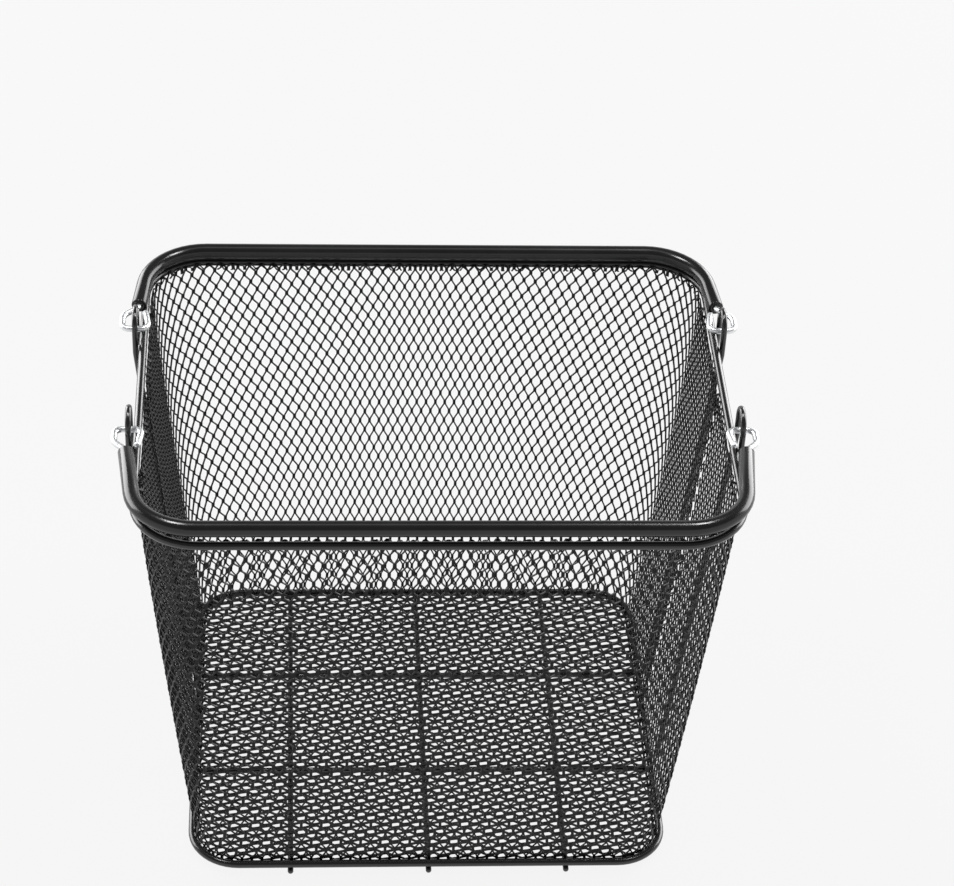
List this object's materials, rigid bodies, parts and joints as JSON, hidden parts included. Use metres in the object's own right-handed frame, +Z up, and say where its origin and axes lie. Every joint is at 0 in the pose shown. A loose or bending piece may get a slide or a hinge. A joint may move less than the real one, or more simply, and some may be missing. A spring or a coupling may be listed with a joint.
{
  "type": "handlebar basket",
  "caption": "Tapered expanded-steel bicycle basket on welded wire frames, with swinging bail handles held by cane hooks.",
  "frame": {"origin": "on the ground under the middle of the basket, at the bottom centre of its bounding box", "axes": "+Z up, X across the basket, +Y towards the handlebar, -Y the front of the basket"},
  "size_m": [0.3796, 0.2846, 0.2945],
  "materials": {
    "frame_paint": "gloss black powder coat",
    "mesh_steel": "satin black powder coat on expanded steel",
    "zinc_wire": "bright zinc plate",
    "grip_vinyl": "gloss black extruded vinyl"
  },
  "bodies": {
    "basket": {"rim_wire": "frame_paint", "foot_wire": "frame_paint", "floor_wire_left": "frame_paint", "floor_wire_middle": "frame_paint", "floor_wire_right": "frame_paint", "cross_wire_front": "frame_paint", "cross_wire_rear": "frame_paint", "hook_front_left": "frame_paint", "hook_front_right": "frame_paint", "hook_rear_left": "frame_paint", "hook_rear_right": "frame_paint", "wall_front": "mesh_steel", "wall_rear": "mesh_steel", "floor_mesh": "mesh_steel"},
    "front_handle": {"bail_wire_front": "zinc_wire", "grip_sleeve_front": "grip_vinyl"},
    "rear_handle": {"bail_wire_rear": "zinc_wire", "grip_sleeve_rear": "grip_vinyl"}
  },
  "joints": [
    {"name": "front_handle_swing", "type": "hinge", "parent": "basket", "child": "front_handle", "pos_m": [0, -0.041, 0.27913], "axis": [-1, 0, 0], "range_deg": [0, 117]},
    {"name": "rear_handle_swing", "type": "hinge", "parent": "basket", "child": "rear_handle", "pos_m": [0, 0.059, 0.27913], "axis": [1, 0, 0], "range_deg": [0, 117]}
  ]
}
